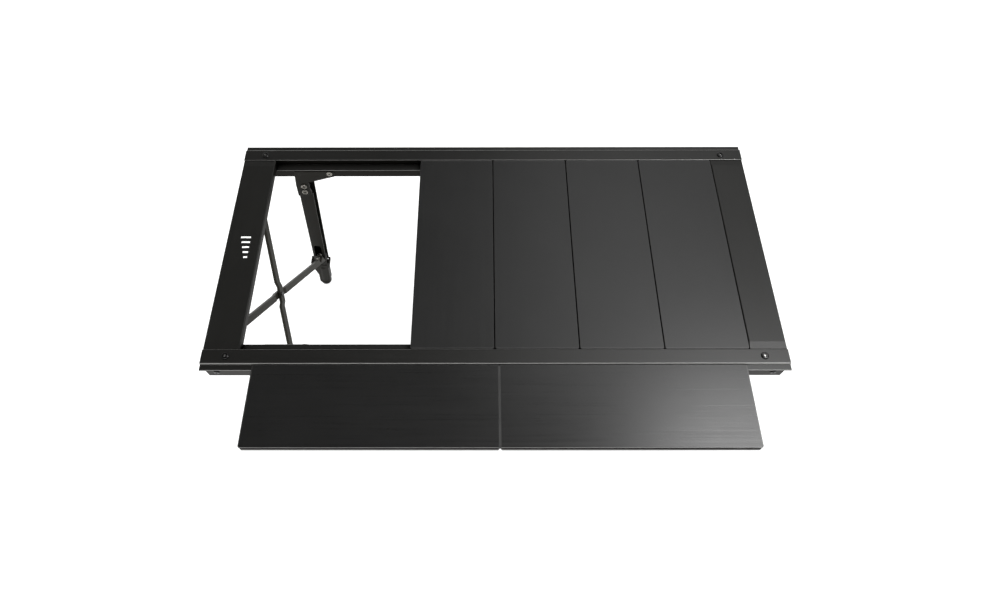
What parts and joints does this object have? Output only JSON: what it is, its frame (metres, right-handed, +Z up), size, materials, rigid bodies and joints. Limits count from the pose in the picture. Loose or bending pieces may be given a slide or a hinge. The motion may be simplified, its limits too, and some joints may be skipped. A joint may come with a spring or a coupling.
{
  "type": "camp kitchen table",
  "caption": "Low rectangular folding table: rail frame with lift-out slats, open stove bay, front side shelf and splayed folding legs with crossed braces.",
  "frame": {"origin": "on the floor, at the middle of the footprint of the table with its shelf (bounding box bottom centre)", "axes": "+X along the rails, from the open bay towards the slats; +Y to the rear, away from the shelf; +Z up"},
  "size_m": [0.86, 0.5424, 0.3984],
  "materials": {
    "frame_anodised": "satin black anodised",
    "slat_anodised": "satin black anodised",
    "leg_anodised": "satin black anodised",
    "cast_block": "cast",
    "bracket_paint": "fine-grained black powder coat",
    "strap_paint": "black powder coat",
    "black_fastener": "black oxide",
    "rivet_steel": "bright plated",
    "bush_plastic": "matte",
    "foot_plastic": "moulded, fine texture",
    "cap_plastic": "matte"
  },
  "bodies": {
    "frame": {"brace_hinge_rivets": "black_fastener", "bracket_flush_rivets": "black_fastener", "bracket_rivets": "rivet_steel", "corner_blocks": "cast_block", "corner_side_bolts": "black_fastener", "corner_top_bolts": "black_fastener", "end_rail_left": "frame_anodised", "end_rail_right": "frame_anodised", "ledge_screws": "black_fastener", "leg_brackets": "bracket_paint", "leg_pivot_rivets": "rivet_steel", "rail_front": "frame_anodised", "rail_rear": "frame_anodised", "stop_rivets": "rivet_steel"},
    "left_legs": {"left_foot_front": "foot_plastic", "left_foot_rear": "foot_plastic", "left_foot_rivets": "black_fastener", "left_leg_front": "leg_anodised", "left_leg_rear": "leg_anodised", "left_pivot_bushes": "bush_plastic"},
    "left_brace": {"left_slide_pins": "rivet_steel", "left_strap_rivet": "black_fastener", "left_strap_to_front": "strap_paint", "left_strap_to_rear": "strap_paint"},
    "right_legs": {"right_foot_front": "foot_plastic", "right_foot_rear": "foot_plastic", "right_foot_rivets": "black_fastener", "right_leg_front": "leg_anodised", "right_leg_rear": "leg_anodised", "right_pivot_bushes": "bush_plastic"},
    "right_brace": {"right_slide_pins": "rivet_steel", "right_strap_rivet": "black_fastener", "right_strap_to_front": "strap_paint", "right_strap_to_rear": "strap_paint"},
    "slat_1": {"slat_1": "slat_anodised", "slat_1_caps": "cap_plastic"},
    "slat_2": {"slat_2": "slat_anodised", "slat_2_caps": "cap_plastic"},
    "slat_3": {"slat_3": "slat_anodised", "slat_3_caps": "cap_plastic"},
    "slat_4": {"slat_4": "slat_anodised", "slat_4_caps": "cap_plastic"},
    "shelf_left": {"shelf_left": "slat_anodised", "shelf_left_caps": "cap_plastic"},
    "shelf_right": {"shelf_right": "slat_anodised", "shelf_right_caps": "cap_plastic"}
  },
  "joints": [
    {"name": "left_leg_fold", "type": "hinge", "parent": "frame", "child": "left_legs", "pos_m": [-0.3388, 0.05817, 0.329], "axis": [0, -1, 0], "range_deg": [0, 96]},
    {"name": "left_brace_swing", "type": "hinge", "parent": "frame", "child": "left_brace", "pos_m": [-0.39702, 0.05817, 0.37301], "axis": [0, -1, 0], "range_deg": [0, 73.41]},
    {"name": "right_leg_fold", "type": "hinge", "parent": "frame", "child": "right_legs", "pos_m": [0.3388, 0.05817, 0.329], "axis": [0, 1, 0], "range_deg": [0, 96]},
    {"name": "right_brace_swing", "type": "hinge", "parent": "frame", "child": "right_brace", "pos_m": [0.39702, 0.05817, 0.37301], "axis": [0, 1, 0], "range_deg": [0, 73.41]},
    {"name": "slat_1_lift", "type": "slide", "parent": "frame", "child": "slat_1", "axis": [0, 0, 1], "range_m": [0, 0.12]},
    {"name": "slat_2_lift", "type": "slide", "parent": "frame", "child": "slat_2", "axis": [0, 0, 1], "range_m": [0, 0.12]},
    {"name": "slat_3_lift", "type": "slide", "parent": "frame", "child": "slat_3", "axis": [0, 0, 1], "range_m": [0, 0.12]},
    {"name": "slat_4_lift", "type": "slide", "parent": "frame", "child": "slat_4", "axis": [0, 0, 1], "range_m": [0, 0.12]},
    {"name": "shelf_left_pull", "type": "slide", "parent": "frame", "child": "shelf_left", "axis": [0, -1, 0], "range_m": [0, 0.06]},
    {"name": "shelf_right_pull", "type": "slide", "parent": "frame", "child": "shelf_right", "axis": [0, -1, 0], "range_m": [0, 0.06]}
  ],
  "couplings": [
    {"joint": "left_brace_swing", "follows": "left_leg_fold", "ratio": 0.7647},
    {"joint": "right_brace_swing", "follows": "right_leg_fold", "ratio": 0.7647}
  ]
}
